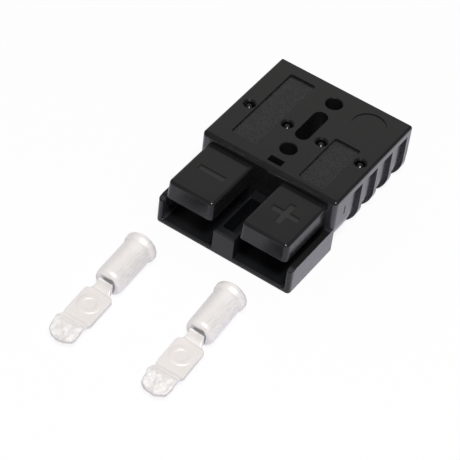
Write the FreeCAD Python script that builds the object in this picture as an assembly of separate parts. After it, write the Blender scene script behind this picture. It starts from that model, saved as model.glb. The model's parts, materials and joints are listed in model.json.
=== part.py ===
import FreeCAD, Part
import math
import os

V = FreeCAD.Vector

# Genderless two-pole power connector: one moulded housing, a leaf spring in each hood,
# and two crimp contacts that lie on the surface in front of it.
#
# Millimetres. X is the width, with the "+" pole on the right. The mating side looks along -Y
# and the cables leave along +Y. Z is up, and z = 0 is the surface that everything rests on.
# y = 0 is the front face of the housing's body, where the hoods and the tray start.
#
# The mate is the same part turned over, so hoods and tray share the height: the hoods stay
# above the middle plane, the tray's walls and post stay below it, and the tray is as long as
# the hoods.

# Housing, overall
width = 55.8
height = 24.4
body_length = 51.0
mating_length = 24.9
pole_inset = 12.7           # from the side to the centre line of a pole

# Body: edges and the rounded tubes of its lower half
tube_radius = 12.0
tube_centre_z = 11.6
valley_height = 5.0         # the web between the tubes lies this far above the surface
valley_start = 4.0          # the web reaches down to the surface in front of this
top_edge_radius = 1.0
front_edge_radius = 1.8
rear_edge_bevel = 0.7

# Grip grooves in the sides
rib_pitch = 10.0
rib_width = 2.1
last_rib_from_rear = 3.1
rib_round_radius = 12.0     # the ribs are fuller below than the tubes
rib_round_z = 9.0
groove_count = 4
groove_depth = 1.3
groove_floor_radius = 20.0
groove_floor_z = 10.5       # the groove's floor is upright above this
groove_bottom = 0.5
groove_top = 21.0
side_slit_y = 7.0
side_slit_z = 16.6
side_slit_length = 4.0
side_slit_depth = 0.7
side_slit_width = 0.6

# Tray
wall_thickness = 2.3
plate_thickness = 2.0
middle_gap = 0.8            # tray walls end this far below the middle plane
tray_chamfer_length = 3.1
tray_chamfer_drop = 0.9
tray_edge_radius = 1.5
tray_foot_radius = 0.8
wall_end_radius = 0.7
recess_corner_radius = 0.6

# Post between the two recesses
post_width = 8.6
post_drop = 0.45            # the post ends this far below the tray walls
post_edge_radius = 0.7
post_front_wall = 3.3
post_side_wall = 1.45
post_pocket_rear = 4.0

# Hoods
hood_width = 19.4
hood_above_middle = 1.8     # the hood's lower edge above the middle plane
mate_gap = 1.0              # between a hood's top and the mate's plate
hood_draft = 0.35
hood_corner_radius = 1.8
hood_top_radius = 1.1
hood_wall = 1.9
hood_roof = 2.0

# Marks on the hoods' tops
mark_y = 13.1               # behind the hoods' front
minus_length = 10.7
plus_width = 11.0
plus_length = 10.5
mark_width = 2.4
mark_depth = 0.5

# Fixing holes, slot and window in the body's middle
hole_radius = 3.1
front_hole_y = 12.6
rear_hole_from_rear = 8.8
hole_chamfer = 0.3
slot_width = 5.6
slot_to_hole = 3.2
window_width = 5.7
window_length = 3.0
window_y = 4.7
window_depth = 9.0

# Shallow recesses in the top
label_width = 10.5
label_depth = 0.8
label_corner_radius = 0.8
long_label_front = 6.9
long_label_from_rear = 5.5
short_label_front = 3.4
short_label_length = 24.3
disc_radius = 6.4
disc_offset = 0.5           # outwards from the pole's centre line
disc_from_rear = 10.4
disc_depth = 0.35

# Dimples on each side of a pole
dimple_y = 22.8
dimple_offset = 8.1
dimple_mouth_radius = 2.5
dimple_radius = 1.75
dimple_depth = 1.5
dimple_dome = 0.6
dimple_dome_top = 0.8

# Contact, lengths counted from its mouth
barrel_radius = 5.4
barrel_length = 21.5
barrel_bore_radius = 4.2
nose_wall = 4.0             # solid metal between the bore's end and the nose
bore_chamfer = 0.4
flare_radius = 6.1
flare_length = 1.8
flare_taper = 1.2
flare_chamfer = 0.3
nose_radius = 2.2
nose_bevels = 3             # the round nose is turned in this many bevels
face_below_axis = 0.2       # the flat mating face lies this far from the barrel's axis
neck_width = 5.9
neck_thickness = 4.2
neck_rise = 2.4             # the neck's top stands this far above the mating face
neck_length = 0.8
neck_sweep = 0.35           # bow of the curves from neck to blade
blade_width = 10.9
blade_thickness = 2.0
blade_corner = 1.4
blade_rear = 25.2
blade_front = 39.0
detent_top = 43.2
detent_rise = 2.2
detent_round = 1.2          # half the length of its rounded crest
detent_crown = 0.35
waist_width = 9.8           # between blade and tip
waist_step = 0.9            # half the length of the step from blade width to waist
tip_end_width = 9.5
tip_side_bow = 0.5          # the tip's sides bow out between waist and end
tip_end_bow = 1.9
tip_drop = 0.3              # the end lies this far below the mating face
tip_thickness = 1.3         # at the end
contact_length = 49.7

# Where the two contacts lie: centre of the mouth seen from above, and the turn
contact_places = {
    "contact_left": (-21.2, -42.6, 2.4),
    "contact_right": (15.3, -41.6, 3.0),
}

# Chambers for contact and cable
contact_clearance = 0.4
shoulder_y = 7.0            # the barrel's nose stops here
cable_bore_radius = 7.8
cable_bore_chamfer = 0.8

# Leaf spring
spring_width = 9.0
spring_thickness = 0.8
spring_foot_reach = 0.7     # the foot is this much wider than the passage on each side
spring_slot_clearance = 0.1
spring_end_gap = 0.3        # between the foot's rear edge and the slot's end
spring_bend_start = 1.0     # the leaf leaves the foot this far behind the foot's front edge
spring_bend_radius = 3.0
spring_angle = 24.0
spring_curl_radius = 2.2
spring_curl_angle = 46.0
spring_before_detent = 0.7  # its lowest line stops this far short of the contact's detent

# Worked out from the sizes above
half_width = width / 2
pole_offset = half_width - pole_inset
middle = height / 2
body_rear = body_length
tray_front = -mating_length
wall_top = middle - middle_gap
post_top = wall_top - post_drop
hood_bottom = middle + hood_above_middle
hood_top = height - plate_thickness - mate_gap
roof = hood_top - hood_roof
axis_z = middle - face_below_axis
chamber_radius = flare_radius + contact_clearance
chamber_rear = shoulder_y + barrel_length + 2 * contact_clearance
passage_width = blade_width + 2 * contact_clearance
passage_floor = middle - detent_rise - contact_clearance
tube_centre_x = half_width - tube_radius
rear_hole_y = body_length - rear_hole_from_rear
slot_length = rear_hole_y - front_hole_y - 2 * (hole_radius + slot_to_hole)
long_label_length = body_length - long_label_front - long_label_from_rear
disc_x = pole_offset + disc_offset
disc_y = body_length - disc_from_rear
barrel_bore_depth = barrel_length - nose_wall
groove_end = body_rear - last_rib_from_rear


def box(x0, x1, y0, y1, z0, z1):
    """A block between two corners."""
    return Part.makeBox(x1 - x0, y1 - y0, z1 - z0, V(x0, y0, z0))


def edges_where(shape, test):
    """The edges of a shape for which test(edge) holds."""
    return [edge for edge in shape.Edges if test(edge)]


def runs_along(edge, axis):
    """Whether an edge is straight and lies along an axis, 0 for X, 1 for Y and 2 for Z."""
    start, end = edge.Vertexes[0].Point, edge.Vertexes[-1].Point
    others = [i for i in range(3) if i != axis]
    return abs(start[axis] - end[axis]) > 0.01 and all(abs(start[i] - end[i]) < 0.001 for i in others)


def at(edge, x=None, y=None, z=None):
    """Whether the middle of an edge has the given coordinates, the sign of x aside."""
    centre = edge.BoundBox.Center
    wanted = ((abs(centre.x), x), (centre.y, y), (centre.z, z))
    return all(value is None or abs(found - value) < 0.02 for found, value in wanted)


def face_of(points, place):
    """A flat face through straight runs and arcs.

    Each point is (a, b), or (a, b, through_a, through_b) for an arc that ends at (a, b)
    and passes through the second pair. place turns (a, b) into a 3-D point.
    """
    edges = []
    start = points[-1][:2]
    for point in points:
        end = point[:2]
        if len(point) == 4:
            edges.append(Part.Arc(place(*start), place(*point[2:]), place(*end)).toShape())
        elif math.dist(start, end) > 1e-6:
            edges.append(Part.LineSegment(place(*start), place(*end)).toShape())
        start = end
    return Part.Face(Part.Wire(edges))


def arc_to(start, end, bow):
    """A point of face_of for an arc that bows out to the left of the way from start to end."""
    a, b = end[0] - start[0], end[1] - start[1]
    share = bow / math.hypot(a, b)
    return (end[0], end[1], start[0] + a / 2 - b * share, start[1] + b / 2 + a * share)


def quarter(start, end, side):
    """A quarter circle from start to end, to the left (1) or right (-1) of the way there."""
    return arc_to(start, end, side * math.dist(start, end) * (math.sqrt(0.5) - 0.5))


def mirrored(shape):
    """The same shape on the other side of the middle."""
    return shape.mirror(V(0, 0, 0), V(1, 0, 0))


def upright_slot(x, y, z0, z1, length, slot_w):
    """An upright cutter with round ends, long along Y."""
    r = slot_w / 2
    half = length / 2 - r
    middle_block = box(x - r, x + r, y - half, y + half, z0, z1)
    ends = [Part.makeCylinder(r, z1 - z0, V(x, y + side * half, z0)) for side in (-1, 1)]
    return middle_block.fuse(ends).removeSplitter()


# Housing

def tube_point(x_side, z):
    """x on the round flank of a tube at height z, on its outer (1) or inner (-1) side."""
    return tube_centre_x + x_side * math.sqrt(tube_radius ** 2 - (z - tube_centre_z) ** 2)


def body():
    """The block with two round tubes below, cut off flat where they stand on the surface."""
    foot_z = tube_centre_z / 2
    valley_z = valley_height / 2
    right = [
        (tube_point(-1, valley_height), valley_height),
        (tube_point(-1, 0), 0, tube_point(-1, valley_z), valley_z),
        (tube_point(1, 0), 0),
        (half_width, tube_centre_z, tube_point(1, foot_z), foot_z),
        (half_width, height),
    ]
    left = [(-half_width, height), (-half_width, tube_centre_z)]
    left.append((-tube_point(1, 0), 0, -tube_point(1, foot_z), foot_z))
    left.append((-tube_point(-1, 0), 0))
    left.append((-tube_point(-1, valley_height), valley_height, -tube_point(-1, valley_z), valley_z))
    section = face_of(right + left, lambda a, b: V(a, 0, b))
    block = section.extrude(V(0, body_length, 0))
    long_edges = edges_where(block, lambda e: runs_along(e, 1) and at(e, x=half_width, z=height))
    block = block.makeFillet(top_edge_radius, long_edges)
    front_rim = edges_where(block, lambda e: runs_along(e, 0) and at(e, x=0, y=0, z=height))
    block = block.makeFillet(front_edge_radius, front_rim)
    rear_rim = edges_where(block, lambda e: runs_along(e, 0) and at(e, x=0, y=body_rear, z=height))
    block = block.makeChamfer(rear_edge_bevel, rear_rim)
    bulkhead = box(-tube_centre_x, tube_centre_x, 0, valley_start, 0, tube_centre_z)
    return block.fuse(bulkhead)


def grip_rib(front):
    """A grip rib on the right: square in front, ramped behind, and it reaches the surface."""
    centre_x = half_width - rib_round_radius

    def rib_point(z):
        return centre_x + math.sqrt(rib_round_radius ** 2 - (rib_round_z - z) ** 2)

    between = rib_round_z / 2
    section = face_of([
        (tube_centre_x, 0),
        (rib_point(0), 0),
        (half_width, rib_round_z, rib_point(between), between),
        (half_width, tube_centre_z),
        (tube_centre_x, tube_centre_z),
    ], lambda a, b: V(a, 0, b))
    bar = section.extrude(V(0, body_length, 0))
    plan = face_of([
        (tube_centre_x, front),
        (half_width, front),
        (half_width, front + rib_width),
        (tube_centre_x, front + rib_width + tube_radius),
    ], lambda a, b: V(a, b, 0))
    return bar.common(plan.extrude(V(0, 0, height)))


def groove_cutter(front, rear):
    """A grip groove on the right: square against the rib behind it, ramped from the rib in front."""
    floor_x = half_width - groove_depth
    centre_x = floor_x - groove_floor_radius
    outside = half_width + 3 * groove_depth

    def floor_at(z):
        return centre_x + math.sqrt(groove_floor_radius ** 2 - (groove_floor_z - z) ** 2)

    low, between = groove_bottom, groove_floor_z / 2
    section = face_of([
        (floor_at(low), low),
        (floor_x, groove_floor_z, floor_at(between), between),
        (floor_x, groove_top - groove_depth),
        (half_width, groove_top),
        (outside, groove_top),
        (outside, low),
    ], lambda a, b: V(a, 0, b))
    bar = section.extrude(V(0, body_length, 0))
    deep = floor_at(low)
    plan = face_of([
        (outside, front - (outside - half_width)),
        (deep, front + (half_width - deep)),
        (deep, rear),
        (outside, rear),
    ], lambda a, b: V(a, b, 0))
    return bar.common(plan.extrude(V(0, 0, height)))


def rib_fronts():
    """Where the ribs' square fronts stand, counted forward from the rear rib."""
    return [groove_end - i * rib_pitch for i in range(groove_count)]


def grip_ribs():
    """The ribs of both sides."""
    ribs = [grip_rib(front) for front in rib_fronts()]
    return ribs + [mirrored(rib) for rib in ribs]


def grip_grooves():
    """All grooves of the right side, one in front of each rib."""
    return [groove_cutter(front - rib_pitch + rib_width, front) for front in rib_fronts()]


def side_slit():
    """The thin lens-shaped slit in the side in front of the grooves."""
    r = (side_slit_length ** 2 / 4 + side_slit_depth ** 2) / (2 * side_slit_depth)
    centre = V(half_width - side_slit_depth + r, side_slit_y - side_slit_width / 2, side_slit_z)
    return Part.makeCylinder(r, side_slit_width, centre, V(0, 1, 0))


def recess_cutter():
    """The space over the plate between the side walls, open to the front."""
    inside = half_width - wall_thickness
    cutter = box(-inside, inside, -2 * mating_length, 0, plate_thickness, height)
    low = edges_where(cutter, lambda e: runs_along(e, 1) and at(e, z=plate_thickness))
    return cutter.makeFillet(recess_corner_radius, low)


def post():
    """The hollow post that stands between the two recesses."""
    half = post_width / 2
    block = box(-half, half, tray_front, 0, plate_thickness / 2, post_top)
    rims = edges_where(block, lambda e: at(e, z=post_top) and e.BoundBox.YMin < -1)
    block = block.makeFillet(post_edge_radius, rims)
    side = half - post_side_wall
    pocket = box(-side, side, tray_front + post_front_wall, -post_pocket_rear,
                 plate_thickness, height)
    upright = edges_where(pocket, lambda e: runs_along(e, 2))
    return block.cut(pocket.makeFillet(recess_corner_radius, upright))


def tray():
    """Plate, side walls and post, in one piece with the body."""
    rear = front_edge_radius
    block = box(-half_width, half_width, tray_front, rear, 0, wall_top)
    corners = edges_where(block, lambda e: runs_along(e, 2) and at(e, x=half_width, y=tray_front))
    block = block.makeFillet(tray_edge_radius, corners)
    foot = edges_where(block, lambda e: runs_along(e, 0) and at(e, y=tray_front, z=0))
    block = block.makeFillet(tray_foot_radius, foot)
    nose = face_of([
        (tray_front - 1, wall_top - tray_chamfer_drop),
        (tray_front, wall_top - tray_chamfer_drop),
        (tray_front + tray_chamfer_length, wall_top),
        (tray_front + tray_chamfer_length, height),
        (tray_front - 1, height),
    ], lambda a, b: V(-half_width - 1, a, b)).extrude(V(width + 2, 0, 0))
    block = block.cut(nose).cut(recess_cutter())
    wall_ends = edges_where(block, lambda e: runs_along(e, 2)
                            and at(e, x=half_width - wall_thickness, y=tray_front))
    return block.makeFillet(wall_end_radius, wall_ends).fuse(post())


def hood():
    """The right hood: its front view and side view both taper upwards, and its edges are round."""
    rear = front_edge_radius + 1
    x0, x1 = pole_offset - hood_width / 2, pole_offset + hood_width / 2
    d = hood_draft
    front_view = face_of([
        (x0, hood_bottom), (x1, hood_bottom), (x1 - d, hood_top), (x0 + d, hood_top),
    ], lambda a, b: V(a, tray_front, b)).extrude(V(0, rear - tray_front, 0))
    side_view = face_of([
        (tray_front, hood_bottom), (rear, hood_bottom), (rear, hood_top), (tray_front + d, hood_top),
    ], lambda a, b: V(x0, a, b)).extrude(V(hood_width, 0, 0))
    block = front_view.common(side_view)
    corners = edges_where(block, lambda e: e.BoundBox.ZLength > 1 and e.BoundBox.YMax < tray_front + 1)
    block = block.makeFillet(hood_corner_radius, corners)
    rims = edges_where(block, lambda e: abs(e.BoundBox.ZMin - hood_top) < 0.001
                       and abs(e.BoundBox.ZMax - hood_top) < 0.001
                       and e.BoundBox.YMin < rear - 0.01)
    return block.makeFillet(hood_top_radius, rims)


def hood_cavity():
    """The space inside the right hood, open to the recess below."""
    half = hood_width / 2 - hood_draft - hood_wall
    front = tray_front + hood_draft + hood_wall
    cutter = box(pole_offset - half, pole_offset + half, front, 0, middle, roof)
    upper = edges_where(cutter, lambda e: (runs_along(e, 1) and at(e, z=roof)) or
                        (runs_along(e, 2) and at(e, y=front)))
    return cutter.makeFillet(recess_corner_radius, upper)


def chambers():
    """Cable bore, barrel chamber and blade passage of the right pole, one behind the other."""
    x = pole_offset
    along = V(0, 1, 0)
    cable = Part.makeCylinder(cable_bore_radius, body_rear - chamber_rear,
                              V(x, chamber_rear, axis_z), along)
    mouth = Part.makeCone(cable_bore_radius, cable_bore_radius + cable_bore_chamfer,
                          cable_bore_chamfer, V(x, body_rear - cable_bore_chamfer, axis_z), along)
    barrel = Part.makeCylinder(chamber_radius, chamber_rear - shoulder_y + 0.01,
                               V(x, shoulder_y, axis_z), along)
    half = passage_width / 2
    passage = box(x - half, x + half, -0.01, shoulder_y + 0.01, passage_floor, roof)
    slot_half = half + spring_foot_reach
    slot_height = spring_thickness + spring_slot_clearance
    slot = box(x - slot_half, x + slot_half, -0.01, shoulder_y, roof - slot_height, roof)
    return [cable, mouth, barrel, passage, slot]


def dimple(x):
    """A round dimple in the top with a bevelled mouth and a low dome on its floor."""
    rim = dimple_mouth_radius - dimple_radius
    floor = height - dimple_depth
    section = face_of([
        (0, floor + dimple_dome),
        (dimple_dome_top, floor + dimple_dome),
        (dimple_radius, floor),
        (dimple_radius, height - rim),
        (dimple_mouth_radius, height),
        (dimple_mouth_radius, height + 1),
        (0, height + 1),
    ], lambda a, b: V(a, 0, b))
    cutter = section.revolve(V(0, 0, 0), V(0, 0, 1), 360)
    cutter.translate(V(x, dimple_y, 0))
    return cutter


def label_recess(x, front, length):
    """A shallow oblong recess in the top."""
    half = label_width / 2
    cutter = box(x - half, x + half, front, front + length, height - label_depth, height + 1)
    upright = edges_where(cutter, lambda e: runs_along(e, 2))
    return cutter.makeFillet(label_corner_radius, upright)


def marks():
    """The recessed minus on the left hood and plus on the right hood."""
    y = tray_front + mark_y
    z0, z1 = hood_top - mark_depth, hood_top + 1
    half = mark_width / 2
    minus_half, wide, long = minus_length / 2, plus_width / 2, plus_length / 2
    minus = box(-pole_offset - minus_half, -pole_offset + minus_half, y - half, y + half, z0, z1)
    across = box(pole_offset - wide, pole_offset + wide, y - half, y + half, z0, z1)
    along = box(pole_offset - half, pole_offset + half, y - long, y + long, z0, z1)
    return [minus, across.fuse(along)]


def middle_openings():
    """Two fixing holes, the slot between them and the blind window in front."""
    cutters = []
    for y in (front_hole_y, rear_hole_y):
        cutters.append(Part.makeCylinder(hole_radius, height + 2, V(0, y, -1)))
        cutters.append(Part.makeCone(hole_radius, hole_radius + hole_chamfer, hole_chamfer,
                                     V(0, y, height - hole_chamfer)))
    slot_y = (front_hole_y + rear_hole_y) / 2
    cutters.append(upright_slot(0, slot_y, -1, height + 1, slot_length, slot_width))
    half = window_width / 2
    cutters.append(box(-half, half, window_y - window_length / 2, window_y + window_length / 2,
                       height - window_depth, height + 1))
    return cutters


def housing():
    """The moulded housing, in one piece."""
    shape = body().fuse([tray(), hood(), mirrored(hood())] + grip_ribs())
    cutters = [hood_cavity(), side_slit()] + grip_grooves() + chambers()
    cutters += [mirrored(cutter) for cutter in cutters]
    cutters += middle_openings() + marks()
    for pole in (-pole_offset, pole_offset):
        for side in (-1, 1):
            cutters.append(dimple(pole + side * dimple_offset))
    cutters.append(label_recess(-pole_offset, long_label_front, long_label_length))
    cutters.append(label_recess(pole_offset, short_label_front, short_label_length))
    disc = Part.makeCylinder(disc_radius, 1 + disc_depth, V(disc_x, disc_y, height - disc_depth))
    cutters.append(disc)
    for cutter in cutters:
        shape = shape.cut(cutter)
    return shape.removeSplitter()


# Leaf spring

def strip(path, thickness, across, centre_x):
    """A bent strip: path is its middle line in the YZ plane as straight runs and arcs."""
    wire = Part.Wire(path)
    start = path[0].valueAt(path[0].FirstParameter)
    section = Part.makePolygon([
        V(centre_x - across / 2, start.y, start.z - thickness / 2),
        V(centre_x + across / 2, start.y, start.z - thickness / 2),
        V(centre_x + across / 2, start.y, start.z + thickness / 2),
        V(centre_x - across / 2, start.y, start.z + thickness / 2),
        V(centre_x - across / 2, start.y, start.z - thickness / 2),
    ])
    return wire.makePipeShell([section], True, False)


def bend(x, start, heading, radius, turn):
    """An arc in the YZ plane from start, turning by turn degrees; returns edge, end, heading."""
    side = 1 if turn > 0 else -1
    h = math.radians(heading)
    centre = (start[0] - side * radius * math.sin(h), start[1] + side * radius * math.cos(h))

    def on_arc(share):
        angle = h + math.radians(turn * share) - side * math.pi / 2
        return (centre[0] + radius * math.cos(angle), centre[1] + radius * math.sin(angle))

    points = [V(x, *start), V(x, *on_arc(0.5)), V(x, *on_arc(1.0))]
    return Part.Arc(*points).toShape(), on_arc(1.0), heading + turn


def run(x, start, heading, length):
    """A straight run in the YZ plane; returns edge and end."""
    h = math.radians(heading)
    end = (start[0] + length * math.cos(h), start[1] + length * math.sin(h))
    return Part.LineSegment(V(x, *start), V(x, *end)).toShape(), end


def leaf_spring(x):
    """A leaf held by its wide foot in the slots over the passage, pressing down on the blade."""
    z = roof - spring_thickness / 2
    foot_rear = shoulder_y - spring_end_gap
    foot_half = passage_width / 2 + spring_foot_reach - spring_slot_clearance
    foot = box(x - foot_half, x + foot_half, spring_slot_clearance, foot_rear,
               roof - spring_thickness, roof)
    front = spring_slot_clearance
    first, point = run(x, (front + spring_bend_start, z), 180, spring_bend_start)
    down, point, heading = bend(x, point, 180, spring_bend_radius, spring_angle)
    lean = math.radians(spring_angle)
    rounds = (spring_bend_radius + spring_curl_radius) * math.sin(lean)
    reach = front + detent_top - barrel_length - shoulder_y - spring_before_detent
    slope, point = run(x, point, heading, (reach - rounds) / math.cos(lean))
    curl, point, heading = bend(x, point, heading, spring_curl_radius, -spring_curl_angle)
    leaf = strip([first, down, slope, curl], spring_thickness, spring_width, x)
    return foot.fuse(leaf).removeSplitter()


# Contact, in its own frame: the mouth's centre at x = 0, y = 0, and the contact along -Y

def barrel():
    """The turned barrel: flared mouth, blind bore and bevelled round nose."""
    r, n, bore = barrel_radius, nose_radius, barrel_bore_radius
    turns = [math.radians(90 * i / nose_bevels) for i in range(1, nose_bevels + 1)]
    nose = [(r - n + n * math.cos(t), barrel_length - n + n * math.sin(t)) for t in turns]
    section = face_of([
        (bore + bore_chamfer, 0),
        (flare_radius - flare_chamfer, 0),
        (flare_radius, flare_chamfer),
        (flare_radius, flare_length),
        (r, flare_length + flare_taper),
        (r, barrel_length - n),
        *nose,
        (0, barrel_length),
        (0, barrel_bore_depth),
        (bore, barrel_bore_depth),
        (bore, bore_chamfer),
    ], lambda a, b: V(a, -b, flare_radius))
    return section.revolve(V(0, 0, flare_radius), V(0, 1, 0), 360)


def blade_side():
    """Side view of neck, blade and tip, bent from one bar, as a wide block."""
    top = flare_radius - face_below_axis
    low = top - blade_thickness
    neck_top = top + neck_rise
    neck_low = neck_top - neck_thickness
    start = barrel_length - nose_radius
    neck_end = barrel_length + neck_length
    crest = top + detent_rise - detent_crown
    front, rear = detent_top + detent_round, detent_top - detent_round
    end_top = top - tip_drop
    end_low = end_top - tip_thickness
    crest_low = crest - blade_thickness
    return face_of([
        (start, neck_top),
        (neck_end, neck_top),
        arc_to((neck_end, neck_top), (blade_rear, top), -neck_sweep),
        (blade_front, top),
        (rear, crest),
        arc_to((rear, crest), (front, crest), detent_crown),
        (contact_length, end_top),
        (contact_length, end_low),
        (front, crest_low),
        arc_to((front, crest_low), (rear, crest_low), -detent_crown),
        (blade_front, low),
        (blade_rear, low),
        arc_to((blade_rear, low), (neck_end, neck_low), -neck_sweep),
        (start, neck_low),
    ], lambda a, b: V(-blade_width, -a, b)).extrude(V(2 * blade_width, 0, 0))


def blade_plan():
    """The right half of neck, blade and tip seen from above, as a tall block."""
    half, neck, waist, tip = blade_width / 2, neck_width / 2, waist_width / 2, tip_end_width / 2
    c, bow = blade_corner, tip_end_bow
    neck_end = (neck, barrel_length + neck_length)
    shoulder = (half - c, blade_rear)
    corner = (half, blade_rear + c)
    waist_corner = (waist, blade_front + waist_step)
    tip_corner = (tip, contact_length - bow)
    end_radius = (tip ** 2 + bow ** 2) / (2 * bow)
    half_turn = math.asin(tip / end_radius) / 2
    on_end = (end_radius * math.sin(half_turn),
              contact_length - end_radius * (1 - math.cos(half_turn)))
    return face_of([
        (0, barrel_length - nose_radius),
        (neck, barrel_length - nose_radius),
        neck_end,
        arc_to(neck_end, shoulder, neck_sweep),
        quarter(shoulder, corner, -1),
        (half, blade_front - waist_step),
        waist_corner,
        arc_to(waist_corner, tip_corner, -tip_side_bow),
        (0, contact_length, *on_end),
    ], lambda a, b: V(a, -b, 0)).extrude(V(0, 0, 3 * flare_radius))


def lie_angle():
    """How far the contact tips nose down until both its flare and its nose touch the surface."""
    along = barrel_length - nose_radius - flare_length
    up = flare_radius - barrel_radius + nose_radius
    return math.atan2(up, along) - math.asin(nose_radius / math.hypot(along, up))


def contact(place):
    """A crimp contact lying on the surface, mouth towards the housing."""
    half = blade_plan()
    blade = blade_side().common(half.fuse(mirrored(half)).removeSplitter())
    shape = barrel().fuse(blade).removeSplitter()
    x, y, turn = place
    tip = lie_angle()
    lift = flare_length * math.sin(tip) + flare_radius * (math.cos(tip) - 1)
    shape.rotate(V(0, 0, flare_radius), V(1, 0, 0), math.degrees(tip))
    shape.rotate(V(0, 0, 0), V(0, 0, 1), turn)
    shape.translate(V(x, y, lift))
    return shape


def main():
    os.makedirs("parts", exist_ok=True)
    pieces = {"housing": housing()}
    pieces["spring_left"] = leaf_spring(-pole_offset)
    pieces["spring_right"] = leaf_spring(pole_offset)
    for name, place in contact_places.items():
        pieces[name] = contact(place)
    for name, shape in pieces.items():
        b = shape.BoundBox
        print(name, "solids", len(shape.Solids), "valid", shape.isValid(),
              "volume %.1f" % shape.Volume,
              "x %.2f %.2f y %.2f %.2f z %.2f %.2f" % (b.XMin, b.XMax, b.YMin, b.YMax, b.ZMin, b.ZMax))
        shape.exportStep("parts/" + name + ".step")


main()
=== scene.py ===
import json
import math

import bpy
from mathutils import Matrix, Vector

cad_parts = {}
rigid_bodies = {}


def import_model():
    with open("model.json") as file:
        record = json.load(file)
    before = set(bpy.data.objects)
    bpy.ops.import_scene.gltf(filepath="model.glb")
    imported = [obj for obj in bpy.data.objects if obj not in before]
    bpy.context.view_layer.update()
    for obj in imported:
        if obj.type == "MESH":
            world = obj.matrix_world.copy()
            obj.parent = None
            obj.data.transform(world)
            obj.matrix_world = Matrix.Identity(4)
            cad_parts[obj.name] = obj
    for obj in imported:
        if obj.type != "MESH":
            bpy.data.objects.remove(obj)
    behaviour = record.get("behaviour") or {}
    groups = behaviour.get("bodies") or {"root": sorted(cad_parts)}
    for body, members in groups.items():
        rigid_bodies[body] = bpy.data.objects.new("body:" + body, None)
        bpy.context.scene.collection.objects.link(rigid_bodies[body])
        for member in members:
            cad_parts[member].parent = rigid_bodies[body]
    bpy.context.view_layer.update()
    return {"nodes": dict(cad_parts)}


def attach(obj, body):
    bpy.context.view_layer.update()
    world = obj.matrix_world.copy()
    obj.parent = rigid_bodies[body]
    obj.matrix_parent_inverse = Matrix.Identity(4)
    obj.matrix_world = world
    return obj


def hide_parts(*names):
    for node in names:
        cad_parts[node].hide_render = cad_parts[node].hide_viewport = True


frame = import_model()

# Looks of a genderless two-pole power connector: the housing with its springs, and its two
# crimp contacts, which lie in front of it.
#
# Metres, in the frame of the CAD model: X to the plus pole, Y to the cable side, Z up, and
# z = 0 is the surface that everything rests on.

MM = 0.001

# Camera, matched to the photograph
AIM = Vector((0.48, -22.02, 11.71)) * MM
DISTANCE = 726.1 * MM
AZIMUTH = math.radians(29.00)
ELEVATION = math.radians(45.96)
ROLL = math.radians(7.61)
LENS = 166.6
SENSOR = 36.0

# Light
FLOOR_SIZE = 20.0
FLOOR_SEEN_WHITE = 0.90         # how white the camera sees the floor, of its own light
FLOOR_GLOSS_WHITE = 0.10        # and how white gloss and glass see it
FLOOR_COLOUR = (0.86, 0.85, 0.94, 1)
WORLD_STRENGTH = 0.24
WORLD_COLOUR = (1.0, 0.985, 0.965, 1)

# Housing: its heights and ends, the engraved marks on the hoods, the bare label recesses and
# the dimples in the top. The two poles are alike.
POLE_OFFSET = 15.2 * MM
BODY_TOP_Z = 24.4 * MM
HOOD_TOP_Z = 21.4 * MM
WALL_TOP_Z = 11.4 * MM          # the tray's side walls
TRAY_REAR_Y = -0.5 * MM
FRONT_END_Y = -24.5 * MM        # the front ends of the tray's walls lie before this
SIDE_FROM = 24.5 * MM           # the sides, which lie further out than this, get a clear coat and a painted lighter sheen
FLOOR_BAND = 0.3 * MM           # how far a recess's floor reaches up and down
MARK_MIDDLE_Y = -11.8 * MM
MARK_FLOOR_Z = HOOD_TOP_Z - 0.5 * MM
MARK_REACH = 5.7 * MM
LABEL_HALF_WIDTH = 5.3 * MM
LABEL_FLOOR_Z = BODY_TOP_Z - 0.8 * MM
DIMPLE_OFFSET = 8.1 * MM        # from the pole's line, on both sides
DIMPLE_Y = 22.8 * MM
DIMPLE_REACH = 2.4 * MM

# Colours of the housing
MOULDED_BLACK = (0.0080, 0.0081, 0.0088, 1)
WORN_BLACK = (0.0105, 0.0103, 0.0107, 1)
ETCHED_DARK = (0.0085, 0.0085, 0.0093, 1)
ETCHED_LIGHT = (0.020, 0.0200, 0.0215, 1)
# Painted sheen: the engraved marks are painted a lighter grey, for the light that their sloped
# floors and walls catch
MARK_SHEEN_GREY = (0.024, 0.0235, 0.0235, 1)
# Painted shade: the dimples are painted near-black, for the shade inside a deep hole
DIMPLE_SHADE_BLACK = (0.0015, 0.0016, 0.0020, 1)
# Painted shade: the tray under the hoods is painted darker and bluer, for the shade there
TRAY_SHADE_BLACK = (0.0040, 0.0044, 0.0056, 1)
# Painted sheen: the outer sides are painted a lighter grey, for the light they reflect from the
# bright floor beside them
SIDE_SHEEN_GREY = (0.033, 0.0330, 0.0385, 1)

# Contacts: the middle of each mouth, and how far the blade turns from straight ahead
CONTACT_MOUTHS = {
    "contact_left": (Vector((-21.2, -42.6, 0.0)) * MM, math.radians(2.4)),
    "contact_right": (Vector((15.3, -41.6, 0.0)) * MM, math.radians(3.0)),
}
EVENING_CELL = 0.21 * MM        # the cells that a contact's skin is evened out with
EDGE_ROUNDS = 5                 # smoothing passes, which round its edges off
RING_FROM_MOUTH = 31.5 * MM
RING_INNER = 2.5 * MM
RING_OUTER = 4.0 * MM
RING_RISE = 0.22 * MM
TIP_LUMP = 2.4 * MM             # the lumps that striking left at the tip: size and height
TIP_LUMP_HEIGHT = 0.9 * MM
TIP_FROM_MOUTH = 40.5 * MM
TIP_FADE = 3.0 * MM             # over this length the blade turns into the struck tip
NOSE_FROM_MOUTH = 21.5 * MM
NOSE_DARK_BELOW = 9.3 * MM      # the nose gets a painted dark reflection below this height
BLADE_FROM_MOUTH = 22.5 * MM
CREASE_FROM_MOUTH = 25.0 * MM   # the crease between neck and blade
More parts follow.
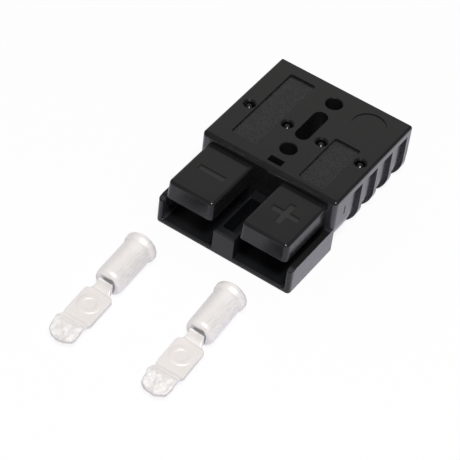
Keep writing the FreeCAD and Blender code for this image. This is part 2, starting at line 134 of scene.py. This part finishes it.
STEP_FROM_MOUTH = 41.2 * MM     # the rise at the end of the blade, which gets a painted highlight
STEP_REACH = 1.7 * MM
SIDE_BELOW = 4.2 * MM           # the blade's sides get painted shade below this height

# Colours of the contacts
SILVER = (0.88, 0.85, 0.83, 1)
AGED_SILVER = (0.84, 0.80, 0.775, 1)
BLADE_SILVER = (0.79, 0.75, 0.73, 1)
# Painted highlight on the rise at the blade's end
STEP_HIGHLIGHT_SILVER = (0.98, 0.94, 0.92, 1)
# Painted shade at the mouth's rim and in the crease between neck and blade
RIM_CREASE_SHADE_GREY = (0.42, 0.40, 0.39, 1)
# Painted grey sheen on the barrel's flank, broken up by the drawn streaks
FLANK_SHEEN_GREY = (0.52, 0.50, 0.49, 1)
# Painted shade on the blade's sides
BLADE_SIDE_SHADE_GREY = (0.60, 0.57, 0.54, 1)
STRUCK_GREY = (0.62, 0.61, 0.61, 1)
# Painted dark reflection on the lower nose, by the neck
NOSE_REFLECTION_DARK = (0.12, 0.12, 0.135, 1)

# Colours of the springs
STEEL_DARK = (0.50, 0.50, 0.49, 1)
STEEL_LIGHT = (0.62, 0.62, 0.60, 1)


# Shader maths

class Socket:
    """A node's output, with operators that add the Math nodes for an expression."""

    def __init__(self, material, link):
        self.material = material
        self.link = link

    def math(self, operation, *others):
        values = dict(enumerate((self,) + others))
        return self.material.node("ShaderNodeMath", {"operation": operation}, values)

    def __add__(self, other):
        return self.math("ADD", other)

    def __sub__(self, other):
        return self.math("SUBTRACT", other)

    def __mul__(self, other):
        return self.math("MULTIPLY", other)

    def __rsub__(self, other):
        return self.material.node("ShaderNodeMath", {"operation": "SUBTRACT"}, {0: other, 1: self})

    __radd__ = __add__
    __rmul__ = __mul__

    def near(self, middle, reach):
        """1 within reach of middle, and 0 elsewhere."""
        return self.math("COMPARE", middle, reach)

    def ramp(self, low, high, to_low=0.0, to_high=1.0):
        """Maps low..high to to_low..to_high, and holds the ends."""
        return self.material.node("ShaderNodeMapRange", {"clamp": True}, {
            "Value": self, "From Min": low, "From Max": high,
            "To Min": to_low, "To Max": to_high})

    def above(self, level, fade):
        """0 up to level, and 1 from fade further up."""
        return self.ramp(level, level + fade)

    def below(self, level, fade):
        """0 down to level, and 1 from fade further down."""
        return self.ramp(level, level - fade)


class Material:
    """A node material that is written as expressions."""

    def __init__(self, name):
        self.material = bpy.data.materials.new(name)
        self.material.use_nodes = True
        self.nodes = self.material.node_tree.nodes
        self.links = self.material.node_tree.links
        self.nodes.clear()
        self.output = self.nodes.new("ShaderNodeOutputMaterial")

    def node(self, kind, settings=None, values=None, out=0):
        """Adds a node, sets it up and returns one of its outputs."""
        made = self.nodes.new(kind)
        for name, value in (settings or {}).items():
            setattr(made, name, value)
        for name, value in (values or {}).items():
            if isinstance(value, Socket):
                self.links.new(value.link, made.inputs[name])
            else:
                made.inputs[name].default_value = value
        return Socket(self, made.outputs[out])

    def object_place(self):
        return self.node("ShaderNodeTexCoord", out="Object")

    def axes(self, place):
        """The three coordinates of a place."""
        first = self.node("ShaderNodeSeparateXYZ", {}, {"Vector": place})
        return [Socket(self, output) for output in first.link.node.outputs]

    def noise(self, place, scale, detail, roughness):
        """Cloudy noise from 0 to 1; scale is the number of clouds in a metre."""
        return self.node("ShaderNodeTexNoise", {}, {
            "Vector": place, "Scale": scale, "Detail": detail, "Roughness": roughness})

    def mix(self, share, first, second):
        """Mixes two colours."""
        return self.node("ShaderNodeMix", {"data_type": "RGBA"},
                         {0: share, 6: first, 7: second}, out=2)

    def bump(self, height, distance, strength):
        return self.node("ShaderNodeBump", {}, {
            "Height": height, "Distance": distance, "Strength": strength})

    def surface(self, shader):
        """Ends the material in a shader."""
        self.links.new(shader.link, self.output.inputs["Surface"])
        return self.material

    def finish(self, **sockets):
        """Ends it in a Principled shader; its sockets are named with _ for a space."""
        values = {name.replace("_", " "): value for name, value in sockets.items()}
        return self.surface(self.node("ShaderNodeBsdfPrincipled", {}, values))


# Finishes

def black_plastic():
    """Moulded near-black plastic: a fine eroded grain under a satin gloss, slightly worn, with
    painted sheen in the marks and on the outer sides and painted shade in the dimples and the
    tray.
    """
    m = Material("black_plastic")
    place = m.object_place()
    cloud = m.noise(place, 90.0, 4.0, 0.6)
    grain = m.noise(place, 4200.0, 2.0, 0.55)
    flow = m.noise(place, 700.0, 3.0, 0.6)
    etched = m.noise(place, 1500.0, 2.0, 0.6)

    x, y, z = m.axes(place)
    aside = x.math("ABSOLUTE")
    from_pole = (aside - POLE_OFFSET).math("ABSOLUTE")
    in_mark = from_pole.near(0.0, MARK_REACH) * y.near(MARK_MIDDLE_Y, MARK_REACH)
    in_mark = in_mark * z.near(MARK_FLOOR_Z, FLOOR_BAND)
    in_label = from_pole.near(0.0, LABEL_HALF_WIDTH) * z.near(LABEL_FLOOR_Z, FLOOR_BAND)
    in_dimple = from_pole.near(DIMPLE_OFFSET, DIMPLE_REACH) * y.near(DIMPLE_Y, DIMPLE_REACH)
    in_dimple = in_dimple * z.below(BODY_TOP_Z - 0.2 * MM, 0.3 * MM)
    behind_ends = y.above(FRONT_END_Y, 0.5 * MM)
    within_tray = y.below(TRAY_REAR_Y, 1.0 * MM) * z.below(WALL_TOP_Z + 0.2 * MM, 0.4 * MM)
    within_tray = within_tray * aside.below(SIDE_FROM, 0.5 * MM)
    on_wall_top = y.below(TRAY_REAR_Y, 0.5 * MM) * z.above(WALL_TOP_Z - 0.4 * MM, 0.3 * MM)
    # the outer sides, below the top's edge and behind the walls' front ends: a clear coat and a
    # painted lighter sheen
    outer_sides = aside.above(SIDE_FROM, 0.5 * MM) * z.below(BODY_TOP_Z - 0.9 * MM, 0.5 * MM)
    outer_sides = outer_sides * behind_ends * (1.0 - on_wall_top)

    colour = m.mix(cloud.ramp(0.35, 0.65), MOULDED_BLACK, WORN_BLACK)
    colour = m.mix(in_label, colour, m.mix(etched.ramp(0.4, 0.6), ETCHED_DARK, ETCHED_LIGHT))
    # painted sheen: the marks' floors and walls are painted lighter, for the light that a sloped
    # groove catches
    colour = m.mix(in_mark, colour, MARK_SHEEN_GREY)
    # painted shade: the dimples' floors are painted near-black, for the shade inside a deep hole
    colour = m.mix(in_dimple, colour, DIMPLE_SHADE_BLACK)
    # painted shade: the tray under the hoods is painted darker, for the shade there
    colour = m.mix(within_tray * behind_ends, colour, TRAY_SHADE_BLACK)
    # painted sheen: the outer sides are painted a lighter grey, for the light they reflect from
    # the floor beside them
    colour = m.mix(outer_sides * 0.8, colour, SIDE_SHEEN_GREY)

    gloss = cloud.ramp(0.3, 0.7, 0.17, 0.22) + flow.ramp(0.4, 0.6, -0.02, 0.02)
    gloss = gloss + in_mark * 0.25 + within_tray * 0.25
    polish = outer_sides * cloud.ramp(0.3, 0.7, 0.30, 0.42)
    height = grain * 0.7 + flow * 0.5 + in_label * etched * 2.0
    normal = m.bump(height, 0.006 * MM, 0.6)
    return m.finish(Base_Color=colour, Roughness=gloss, Normal=normal, IOR=1.42,
                    Coat_Weight=polish, Coat_Roughness=0.2)


def silver_plate(name, mouth, turn):
    """Silver-plated copper: pale and satin, drawn lengthwise, and rough at the struck tip."""
    m = Material(name)
    place = m.node("ShaderNodeMapping", {"vector_type": "TEXTURE"}, {
        "Vector": m.object_place(), "Location": mouth, "Rotation": (0.0, 0.0, -turn)})
    cloud = m.noise(place, 160.0, 4.0, 0.6)
    grain = m.noise(place, 3000.0, 3.0, 0.6)
    pressed = m.noise(place, 900.0, 2.0, 0.5)
    drawn = m.node("ShaderNodeMapping", {}, {"Vector": place, "Scale": (9.0, 1.0, 9.0)})
    streaks = m.noise(drawn, 260.0, 3.0, 0.6)

    across, backward, up = m.axes(place)
    forward = backward * -1.0
    tip = forward.above(TIP_FROM_MOUTH, TIP_FADE)
    mottled = tip * pressed.ramp(0.47, 0.60)
    rise = forward.near(STEP_FROM_MOUTH, STEP_REACH)
    flank = across.above(1.5 * MM, 2.0 * MM) * up.above(5.0 * MM, 2.0 * MM)
    # painted grey sheen along the barrel's flank, in streaks
    painted_flank_sheen = flank * streaks.ramp(0.35, 0.6)
    nose = forward.near(NOSE_FROM_MOUTH, 0.4 * MM) * across.above(-1.5 * MM, 2.5 * MM)
    # painted dark reflection on the lower part of the nose
    painted_nose_reflection = nose * up.below(NOSE_DARK_BELOW, 0.8 * MM)
    past_nose = forward.above(BLADE_FROM_MOUTH, 1.5 * MM)
    side = past_nose * up.below(SIDE_BELOW, 0.4 * MM)
    blade = past_nose * forward.below(TIP_FROM_MOUTH, 1.0 * MM)
    rim = forward.near(0.1 * MM, 0.35 * MM)
    crease = forward.near(CREASE_FROM_MOUTH, 0.2 * MM)

    colour = m.mix(cloud.ramp(0.35, 0.68), SILVER, AGED_SILVER)
    colour = m.mix(blade * 0.6, colour, BLADE_SILVER)
    # painted highlight on the rise at the blade's end
    colour = m.mix(rise * 0.8, colour, STEP_HIGHLIGHT_SILVER)
    # painted shade: grey lines at the mouth's rim and in the crease between neck and blade
    colour = m.mix(rim * 0.5 + crease * 0.3, colour, RIM_CREASE_SHADE_GREY)
    # painted grey sheen on the barrel's flank
    colour = m.mix(painted_flank_sheen * 0.35, colour, FLANK_SHEEN_GREY)
    # painted shade on the blade's sides
    colour = m.mix(side * 0.5, colour, BLADE_SIDE_SHADE_GREY)
    colour = m.mix(tip * 0.35 + mottled * 0.35, colour, STRUCK_GREY)
    # painted dark reflection on the lower nose, by the neck
    colour = m.mix(painted_nose_reflection * 0.85, colour, NOSE_REFLECTION_DARK)

    gloss = streaks.ramp(0.3, 0.7, 0.36, 0.46) + tip * 0.22
    height = grain * 0.5 + streaks * 0.5 + pressed * tip * 6.0
    normal = m.bump(height, 0.03 * MM, 0.6)
    return m.finish(Base_Color=colour, Roughness=gloss, Normal=normal, Metallic=0.15)


def spring_steel():
    """Rolled stainless strip: grey, with a fine grain along the leaf."""
    m = Material("spring_steel")
    along = m.node("ShaderNodeMapping", {}, {"Vector": m.object_place(), "Scale": (9.0, 1.0, 1.0)})
    streaks = m.noise(along, 500.0, 3.0, 0.6)
    colour = m.mix(streaks, STEEL_DARK, STEEL_LIGHT)
    gloss = streaks.ramp(0.3, 0.7, 0.25, 0.38)
    normal = m.bump(streaks, 0.01 * MM, 0.4)
    return m.finish(Base_Color=colour, Roughness=gloss, Normal=normal, Metallic=1.0)


def floor_white():
    """A pale matt surface, which the camera, gloss and glass see as white."""
    m = Material("floor_white")
    camera_ray = m.node("ShaderNodeLightPath", out="Is Camera Ray")
    glossy_ray = m.node("ShaderNodeLightPath", out="Is Glossy Ray")
    clear_ray = m.node("ShaderNodeLightPath", out="Is Transmission Ray")
    share = (camera_ray * FLOOR_SEEN_WHITE).math("MAXIMUM", glossy_ray * FLOOR_GLOSS_WHITE)
    share = share.math("MAXIMUM", clear_ray * FLOOR_GLOSS_WHITE)
    matt = m.node("ShaderNodeBsdfDiffuse", {}, {"Color": FLOOR_COLOUR})
    white = m.node("ShaderNodeEmission", {}, {"Color": (1, 1, 1, 1), "Strength": 1.0})
    return m.surface(m.node("ShaderNodeMixShader", {}, {0: share, 1: matt, 2: white}))


def dress(piece, material):
    """Gives a piece its finish."""
    for slot in piece.material_slots:
        slot.material = material


# Contacts

def deselect():
    bpy.ops.object.select_all(action="DESELECT")


def merged_copy(node):
    """A copy of a CAD node as one closed skin."""
    deselect()
    solid = frame["nodes"][node]
    solid.select_set(True)
    bpy.context.view_layer.objects.active = solid
    bpy.ops.object.duplicate()
    piece = bpy.context.object
    bpy.ops.object.parent_clear(type="CLEAR_KEEP_TRANSFORM")
    for mark in list(piece.keys()):
        del piece[mark]
    bpy.ops.object.mode_set(mode="EDIT")
    bpy.ops.mesh.select_all(action="SELECT")
    bpy.ops.mesh.remove_doubles(threshold=0.001 * MM)
    bpy.ops.object.mode_set(mode="OBJECT")
    return piece


def apply(piece, kind, **settings):
    """Adds a modifier, sets it up and applies it."""
    modifier = piece.modifiers.new(kind.lower(), kind)
    for name, value in settings.items():
        setattr(modifier, name, value)
    bpy.ops.object.modifier_apply(modifier=modifier.name)


def select_faces(piece, test):
    """Selects the faces of a piece for which test(centre, normal) holds, in edit mode."""
    bpy.ops.object.mode_set(mode="EDIT")
    bpy.ops.mesh.select_mode(type="FACE")
    bpy.ops.mesh.select_all(action="DESELECT")
    bpy.ops.object.mode_set(mode="OBJECT")
    for face in piece.data.polygons:
        face.select = test(face.center, face.normal)
    bpy.ops.object.mode_set(mode="EDIT")


def raise_ring(piece, middle):
    """Raises the plain ring on the blade's upper face."""
    def on_ring(centre, normal):
        return normal.z > 0.9 and RING_INNER < (centre - middle).xy.length < RING_OUTER

    select_faces(piece, on_ring)
    bpy.ops.transform.translate(value=(0, 0, RING_RISE))
    bpy.ops.object.mode_set(mode="OBJECT")


def strike_tip(piece, mouth):
    """Leaves lumps on the tip, as striking does."""
    def on_tip(centre, normal):
        return (centre - mouth).xy.length > TIP_FROM_MOUTH + TIP_FADE

    select_faces(piece, on_tip)
    bpy.ops.object.vertex_group_add()
    bpy.ops.object.vertex_group_assign()
    bpy.ops.object.mode_set(mode="OBJECT")
    lumps = bpy.data.textures.new("struck_lumps", "CLOUDS")
    lumps.noise_scale = TIP_LUMP
    apply(piece, "DISPLACE", texture=lumps, strength=TIP_LUMP_HEIGHT,
          vertex_group=piece.vertex_groups[0].name)


def plated_contact(node):
    """A crimp contact with rounded edges, a plain raised ring and a struck tip."""
    mouth, turn = CONTACT_MOUTHS[node]
    ahead = Vector((math.sin(turn), -math.cos(turn), 0))
    piece = merged_copy(node)
    piece.name = node + "_plated"
    apply(piece, "REMESH", mode="VOXEL", voxel_size=EVENING_CELL)
    raise_ring(piece, mouth + ahead * RING_FROM_MOUTH)
    strike_tip(piece, mouth)
    apply(piece, "SMOOTH", factor=0.5, iterations=EDGE_ROUNDS)
    bpy.ops.object.shade_smooth()
    dress(piece, silver_plate(node + "_silver", mouth, turn))
    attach(piece, "root")
    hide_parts(node)


# Stage

def floor():
    """The pale surface that everything lies on."""
    deselect()
    bpy.ops.mesh.primitive_plane_add(size=FLOOR_SIZE, location=(0, 0, 0))
    surface = bpy.context.object
    surface.name = "floor"
    surface.data.materials.append(floor_white())


def world():
    """Even, slightly warm studio surroundings."""
    scene_world = bpy.data.worlds.new("studio")
    bpy.context.scene.world = scene_world
    scene_world.use_nodes = True
    light = scene_world.node_tree.nodes["Background"]
    light.inputs["Color"].default_value = WORLD_COLOUR
    light.inputs["Strength"].default_value = WORLD_STRENGTH


def lamp(name, direction, distance, size, power, colour=(1, 1, 1)):
    """A square soft box in a direction from the object, which looks at it."""
    data = bpy.data.lights.new(name, "AREA")
    data.shape = "SQUARE"
    data.size = size
    data.energy = power
    data.color = colour
    lamp_object = bpy.data.objects.new(name, data)
    bpy.context.scene.collection.objects.link(lamp_object)
    away = Vector(direction).normalized()
    lamp_object.location = AIM + away * distance
    lamp_object.rotation_euler = away.to_track_quat("Z", "Y").to_euler()


def lamps():
    """A wide dim soft box behind, and the main light above, slightly to the front right."""
    lamp("soft_box_behind", direction=(-0.40, 0.79, 0.42), distance=1.3, size=1.0, power=1.3,
         colour=(1.0, 0.97, 0.92))
    lamp("main_light", direction=(0.25, -0.30, 0.92), distance=1.2, size=0.3, power=13.0)


def camera():
    """The photograph's view."""
    back = Vector((math.sin(AZIMUTH) * math.cos(ELEVATION),
                   -math.cos(AZIMUTH) * math.cos(ELEVATION),
                   math.sin(ELEVATION)))
    right = (-back).cross(Vector((0, 0, 1))).normalized()
    up = right.cross(-back)
    across = right * math.cos(ROLL) + up * math.sin(ROLL)
    upward = up * math.cos(ROLL) - right * math.sin(ROLL)
    data = bpy.data.cameras.new("camera")
    data.lens = LENS
    data.sensor_width = SENSOR
    data.sensor_height = SENSOR
    data.sensor_fit = "HORIZONTAL"
    data.clip_start = 0.05
    data.clip_end = 40.0
    camera_object = bpy.data.objects.new("camera", data)
    bpy.context.scene.collection.objects.link(camera_object)
    turn = Matrix((across, upward, back)).transposed().to_4x4()
    camera_object.matrix_world = Matrix.Translation(AIM + back * DISTANCE) @ turn
    bpy.context.scene.camera = camera_object


def main():
    bpy.context.scene.view_settings.view_transform = "Standard"
    camera()
    floor()
    world()
    lamps()
    dress(frame["nodes"]["housing"], black_plastic())
    steel = spring_steel()
    for node in ("spring_left", "spring_right"):
        dress(frame["nodes"][node], steel)
    for node in CONTACT_MOUTHS:
        plated_contact(node)


main()
